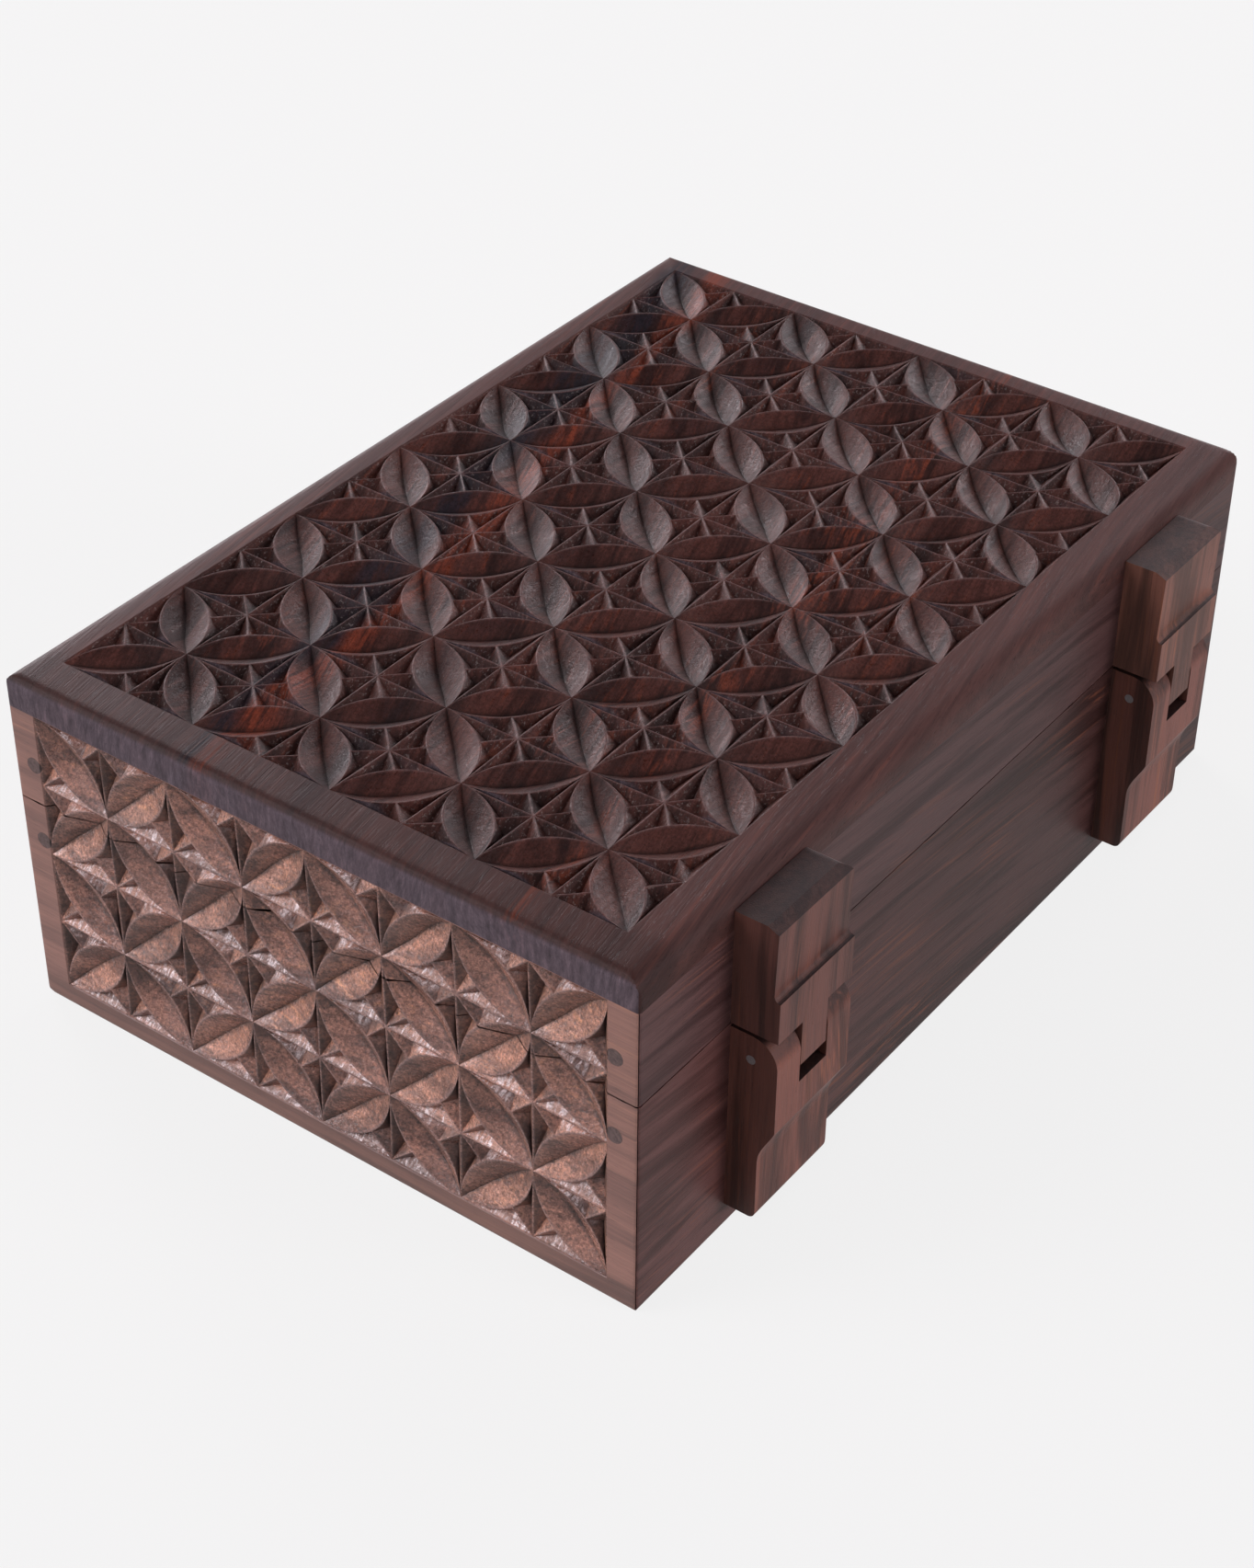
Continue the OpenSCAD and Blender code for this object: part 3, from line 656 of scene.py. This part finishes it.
def knife_marks(m, v, place, facing, along, veins, cut, level, colour, shade, height, roughness,
                plain, border, ridge, rough, crumbly, lines, dim_end=0.5, pale=None, glint_specks=None):
    """What a knife leaves on a carved board: crumbs, cracks, fibres it tore and ridges rubbed by wear, with painted
    shade in the grooves, painted highlights along the ridges and painted glints on upward facets and in the chips.

    plain is the even colour of the uncut border, which wood() lays on, and border darkens a strip of it: along the
    foot of the end and front boards, and, as painted shade, at the +X end of the top board. ridge is the colour of
    ridges rubbed by wear, which also paints their highlight. pale is the colour of fibres the knife tore on upward
    facets, which also paints their glint, and a last colour may give painted glints, small light spots in the chips.
    """
    kind, one, groove = (m.attribute(x) for x in ("kind", "tone", "groove"))
    crumb = m.noise(v, 1.25, 3, 0.75)
    crush = m.noise(v, 0.6, 3, 0.72, 0.8)
    crack = m.noise(m.stretch(v, (0.5, 0.35, 1.2)), 1, 3, 0.7, 1.5)
    crack = m.rest(m.span(m.math("ABSOLUTE", m.math("SUBTRACT", crack, 0.5)), 0.0, CRACK_WIDTH))
    spots = m.mul(m.math("SUBTRACT", crumb, 0.5), 2.4 * crumbly)
    rugged = m.math("SUBTRACT", m.math("MULTIPLY_ADD", crumb, 1.4, m.mul(crush, 3.0)), m.mul(crack, 0.8))
    lean = m.mul(m.span(m.math("ABSOLUTE", along), 0.3, 0.75), cut)

    if glint_specks:
        # Painted glints: small light spots laid into the chips
        chip = m.mul(cut, m.math("LESS_THAN", kind, CHIP + 0.5))
        glint_dots = m.span(m.noise(m.stretch(v, (0.5, 0.8, 0.8)), 1.6, 3, 0.7), 0.56, 0.66)
        colour = m.mix(m.mul(glint_dots, chip, 0.4), colour, glint_specks)
    if pale:
        # Painted light: facets that look up and towards the minus side of the grain get a warm, brighter tint
        painted_sunlight = m.mul(m.span(m.math("SUBTRACT", facing[2], along), 0.4, 0.75), cut)
        colour = m.mix(painted_sunlight, colour, m.mix(1.0, colour, PAINTED_LIGHT_TINT, "MULTIPLY"))
        # Painted shade: facets that look down get a darker, redder tint
        under = m.mul(m.span(facing[2], -0.6, -0.3, 0.7, 0.0), cut)
        colour = m.mix(under, colour, m.mix(1.0, colour, PAINTED_SHADE_TINT, "MULTIPLY"))
        # Pale streaks on facets that look up: partly fibres the knife tore, partly a painted glint where these facets
        # face the lights
        fan = m.span(m.noise(m.stretch(v, (0.8, 0.22, 0.22)), 1, 3, 0.65, 1.0), 0.46, 0.62)
        torn_glint = m.mul(m.span(facing[2], 0.53, 0.67), m.span(crush, 0.38, 0.55, 0.3, 1.0), cut, m.one_plus(crack, -0.8))
        colour = m.mix(m.mul(torn_glint, m.math("MULTIPLY_ADD", fan, 0.8, 0.12)), colour, pale)
        whole = m.one_plus(torn_glint, -0.7)
        spots, rugged = m.mul(spots, whole), m.mul(rugged, whole)
    # Ridges take the ridge colour: partly wear, partly a painted highlight along them
    worn_and_lit_ridge = m.mul(m.span(groove, 0.03, 0.14, 1.0, 0.0), cut)
    colour = m.mix(m.mul(worn_and_lit_ridge, 0.55), colour, ridge)

    # Painted shade darkens the bottoms of the grooves; the border strip darkens too, on the top board as painted shade
    # at its +X end
    axis, *reach = border
    shade = m.mul(shade, m.one_plus(level, m.math("SUBTRACT", m.span(place[axis], *reach), 1.0)),
                  m.one_plus(m.mul(one, cut), 0.12), m.one_plus(spots, cut),
                  m.one_plus(m.mul(crack, cut), -0.45 * crumbly), m.span(m.mul(groove, cut), 0.80, 1.0, 1.0, 0.45),
                  m.one_plus(lean, -dim_end))
    height = m.math("ADD", height, m.mul(cut, crumbly, rugged))
    dull = m.math("MULTIPLY_ADD", lean, 0.2, m.math("MULTIPLY_ADD", crumb, 0.4, rough - 0.2))
    dull = m.math("MULTIPLY_ADD", m.math("SUBTRACT", veins, 0.5), -0.6 * lines, dull)
    roughness = m.math("ADD", m.mul(roughness, m.rest(cut)), m.mul(dull, cut))
    return colour, shade, height, roughness


def top_streaks(m, v, colour, veins):
    """The dark and the red streaks that run slantwise over the top board."""
    x, y = m.split(v)[:2]
    wander = m.noise(m.stretch(v, (0.018, 0.05, 0.05)), 1, 3, 0.65)
    wavy = m.math("MULTIPLY_ADD", m.math("SUBTRACT", wander, 0.5), STREAK_WANDER, y)
    for centre, slope, width, soft, gaps, share, tint in STREAKS:
        away = m.math("SUBTRACT", m.math("MULTIPLY_ADD", x, -slope, wavy), centre)
        inside = m.rest(m.span(m.math("ABSOLUTE", away), width, width + soft))
        colour = m.mix(m.mul(inside, m.span(veins, *gaps), share), colour, tint)
    return colour


# Each wood: name, grain, dark and light of its bands, red of its veins
# On the top board, border darkens the uncut border at its +X end: painted shade
TOP = wood("Rosewood top", "x", (0.026, 0.010, 0.0085), (0.078, 0.028, 0.022), (0.12, 0.030, 0.016),
           streaks=top_streaks, flat=0.35, slant=(0, 0, -9), end=(0.125, 0.100, 0.118), gloss=0.14,
           knife=dict(plain=(0.092, 0.046, 0.042), border=(0, 0.118, 0.126, 1.0, 0.66), ridge=(0.12, 0.06, 0.055),
                      rough=0.38, crumbly=0.8, lines=0.8, dim_end=0.2, glint_specks=(0.26, 0.22, 0.21)))
ENDS = (0.16, 0.075, 0.058), (0.42, 0.205, 0.150), (0.53, 0.255, 0.15)
CARVED = dict(gloss=0.75, knife=dict(plain=(0.27, 0.14, 0.115), border=(2, 0.006, 0.009, 0.68, 1.0), rough=0.22,
                                     ridge=(0.34, 0.21, 0.19), crumbly=1.5, lines=0.4, pale=(1.0, 0.88, 0.88)))
SIDE = wood("Rosewood end", "y", *ENDS, seed=1.0, **CARVED)
FRONT = wood("Rosewood front", "x", *ENDS, seed=2.0, **CARVED)
BACKS = dict(seed=3.0, slant=(0, 6, 0), gloss=0.25)
BACK = wood("Rosewood back", "x", (0.032, 0.0115, 0.010), (0.074, 0.032, 0.029), (0.15, 0.050, 0.028),
            lengthwise=(1.0, 1.9), **BACKS)
# Painted sheen: the lid's half of the back board, sawn from the same board as the base's half, gets greyer colours
BACK_LID_SHEEN = wood("Rosewood lid back with painted sheen", "x", (0.036, 0.0155, 0.015), (0.080, 0.040, 0.038), (0.11, 0.044, 0.032),
                lengthwise=(1.15, 1.6), **BACKS)
LEAF = dict(rough=0.45, end=(0.020, 0.008, 0.008))
HINGE = wood("Rosewood upper leaf", "z", (0.060, 0.024, 0.019), (0.175, 0.068, 0.052), (0.24, 0.080, 0.045),
             seed=4.0, flank=0.65, **LEAF)
HINGE_FAR = wood("Rosewood far upper leaf", "z", (0.095, 0.042, 0.030), (0.25, 0.105, 0.074), (0.34, 0.115, 0.05),
                 seed=9.0, flank=0.8, **LEAF)
HINGE_LOW = wood("Rosewood lower leaf", "z", (0.080, 0.028, 0.020), (0.235, 0.086, 0.062), (0.31, 0.105, 0.055),
                 seed=8.0, flank=0.52, **LEAF)
PLANED = (0.11, 0.052, 0.030), (0.26, 0.135, 0.080), (0.30, 0.13, 0.06)
INSIDE = wood("Planed wood inside", "x", *PLANED, seed=5.0, rough=0.5, end=(0.10, 0.05, 0.03))
INSIDE_Y = wood("Planed wood across", "y", *PLANED, seed=6.0, rough=0.5, end=(0.10, 0.05, 0.03))
DOWEL = wood("Dowel end grain", "x", (0.040, 0.030, 0.027), (0.135, 0.095, 0.088), (0.13, 0.08, 0.07), seed=7.0,
             rough=0.5, end=(0.15, 0.105, 0.098))


def pin_metal():
    m = Nodes(bpy.data.materials.new("Dull steel pin"))
    v = m.stretch(m.node("TexCoord").outputs["Object"], (1 / MM,) * 3)
    scratch = m.noise(m.stretch(v, (6, 1.5, 6)), 1, 3, 0.6)
    colour = m.mix(m.span(scratch, 0.3, 0.7), (0.30, 0.30, 0.31), (0.5, 0.5, 0.52))
    normal = m.node("Bump", {"Height": scratch, "Strength": 0.2, "Distance": 0.1 * MM}).outputs[0]
    return m.finish(Base_Color=colour, Metallic=1.0, Roughness=m.span(scratch, 0.2, 0.8, 0.35, 0.55), Normal=normal)


PIN = pin_metal()
BOARDS = {"top_board": TOP, "lid_back": BACK_LID_SHEEN, "base_back": BACK, "lid_front": FRONT, "base_front": FRONT}
for key, obj in pieces.items():
    obj.data.materials.clear()
    obj.data.materials.append(BOARDS.get(key, SIDE))
FINISH = {"upper_hinge_leaf_left": HINGE_FAR, "upper_hinge_leaf_right": HINGE, "lower_hinge_leaf_left": HINGE_LOW,
          "lower_hinge_leaf_right": HINGE_LOW, "bottom_board": INSIDE, "divider_long": INSIDE,
          "divider_cross_left": INSIDE_Y, "divider_cross_right": INSIDE_Y, "lid_dowels": DOWEL,
          "base_dowels": DOWEL, "hinge_pins": PIN}
for key, material in FINISH.items():
    obj = nodes[key]
    for slot in obj.material_slots:
        slot.material = material
    if "dowel" not in key and "pin" not in key:
        soft = obj.modifiers.new("Soft edges", "BEVEL")
        soft.width = 0.5 * MM
        soft.segments = 2
        soft.limit_method = "ANGLE"
        soft.angle_limit = math.radians(40)
        soft.harden_normals = True


# ---------------------------------------------------------------- stage, light and camera

# The floor's level as the camera sees it and in gloss, its own colour, and what it bounces near the box and far off
FLOOR_SEEN, FLOOR_GLOSS, FLOOR_SHADE, FLOOR_NEAR, FLOOR_FAR = 0.82, 0.47, 0.10, 0.62, 0.186


def pale_floor():
    """A pale plain surface: seen as written by the camera and in gloss, it bounces light as a white table."""
    m = Nodes(bpy.data.materials.new("Pale floor"))
    path = m.node("LightPath").outputs
    direct = m.math("MAXIMUM", path["Is Glossy Ray"], path["Is Transmission Ray"])
    direct = m.math("MAXIMUM", path["Is Camera Ray"], direct)
    glow = m.node("Emission", {"Strength": m.span(path["Is Glossy Ray"], 0, 1, FLOOR_SEEN, FLOOR_GLOSS)})
    soft = m.node("BsdfDiffuse", {"Color": (FLOOR_SHADE,) * 3})
    both = m.node("AddShader", {0: glow.outputs[0], 1: soft.outputs[0]})
    x = m.split(m.node("NewGeometry").outputs["Position"])[0]
    white = m.node("BsdfDiffuse", {"Color": m.grey(m.span(x, 0.10, 0.40, FLOOR_NEAR, FLOOR_FAR))})
    return m.output("OutputMaterial", m.node("MixShader", {0: direct, 1: white.outputs[0], 2: both.outputs[0]}))


FLOOR_HALF, FLOOR_UNDER = 8.0, 0.0002  # half its size and how far it lies under the box, in metres

floor_mesh = bpy.data.meshes.new("floor")
floor_mesh.from_pydata([(x * FLOOR_HALF, y * FLOOR_HALF, 0) for x, y in ((-1, -1), (1, -1), (1, 1), (-1, 1))], [],
                       [(0, 1, 2, 3)])
floor = bpy.data.objects.new("floor", floor_mesh)
bpy.context.scene.collection.objects.link(floor)
floor.location.z = -FLOOR_UNDER
floor_mesh.materials.append(pale_floor())

# Soft studio lights: azimuth from +X towards +Y and elevation in degrees, and level
SOFT_LIGHTS = ((184, 14, 8.9), (242, 17, 12.0), (299, 2, 11.0), (318, 37, 8.6), (22, 44, 4.2), (107, 20, 10.1))
LIGHT_FOCUS = 40.0
ROOM, ROOM_TINT = 0.03, (1.03, 0.96, 1.01)
BACKGROUND = 0.888


def studio():
    """The room's light: soft lights above the horizon, and a plain background where the camera sees it."""
    w = Nodes(bpy.data.worlds.new("Studio"))
    toward = w.node("TexCoord").outputs["Generated"]
    light = ROOM
    for azimuth, elevation, strength in SOFT_LIGHTS:
        a, e = math.radians(azimuth), math.radians(elevation)
        middle = (math.cos(e) * math.cos(a), math.cos(e) * math.sin(a), math.sin(e))
        near = w.node("VectorMath", {0: toward, 1: middle}, operation="DOT_PRODUCT").outputs["Value"]
        lobe = w.math("EXPONENT", w.math("MULTIPLY_ADD", near, LIGHT_FOCUS, -LIGHT_FOCUS))
        light = w.math("MULTIPLY_ADD", lobe, strength, light)
    light = w.mul(light, w.span(w.split(toward)[2], -0.05, 0.02))
    seen = w.node("LightPath").outputs["Is Camera Ray"]
    level = w.math("ADD", w.mul(seen, BACKGROUND), w.mul(light, w.rest(seen)))
    tint = w.mix(seen, ROOM_TINT, (1, 1, 1))
    return w.output("OutputWorld", w.node("Background", {"Color": tint, "Strength": level}))


bpy.context.scene.world = studio()

# The camera that fits the photograph's corners: azimuth from -Y towards +X, elevation, roll, place in metres and focal
# length in the photograph's pixels
AZ, EL, ROLL = math.radians(126.017), math.radians(37.034), math.radians(0.525)
CAMERA_AT = (0.5278, 0.3750, 0.5159)
FOCAL_PX, IMAGE_H, SENSOR = 3300.0, 1705, 36

behind = Vector((math.sin(AZ) * math.cos(EL), -math.cos(AZ) * math.cos(EL), math.sin(EL)))
right = (-behind).cross(Vector((0, 0, 1))).normalized()
upward = right.cross(-behind)
right, upward = (right * math.cos(ROLL) + upward * math.sin(ROLL), upward * math.cos(ROLL) - right * math.sin(ROLL))
lens = bpy.data.cameras.new("Camera")
lens.sensor_width = SENSOR
lens.lens = FOCAL_PX * SENSOR / IMAGE_H
lens.clip_start, lens.clip_end = 0.02, 50
camera = bpy.data.objects.new("Camera", lens)
camera.matrix_world = Matrix.Translation(CAMERA_AT) @ Matrix((right, upward, behind)).transposed().to_4x4()
bpy.context.scene.collection.objects.link(camera)
bpy.context.scene.camera = camera
bpy.context.scene.view_settings.view_transform = "Standard"
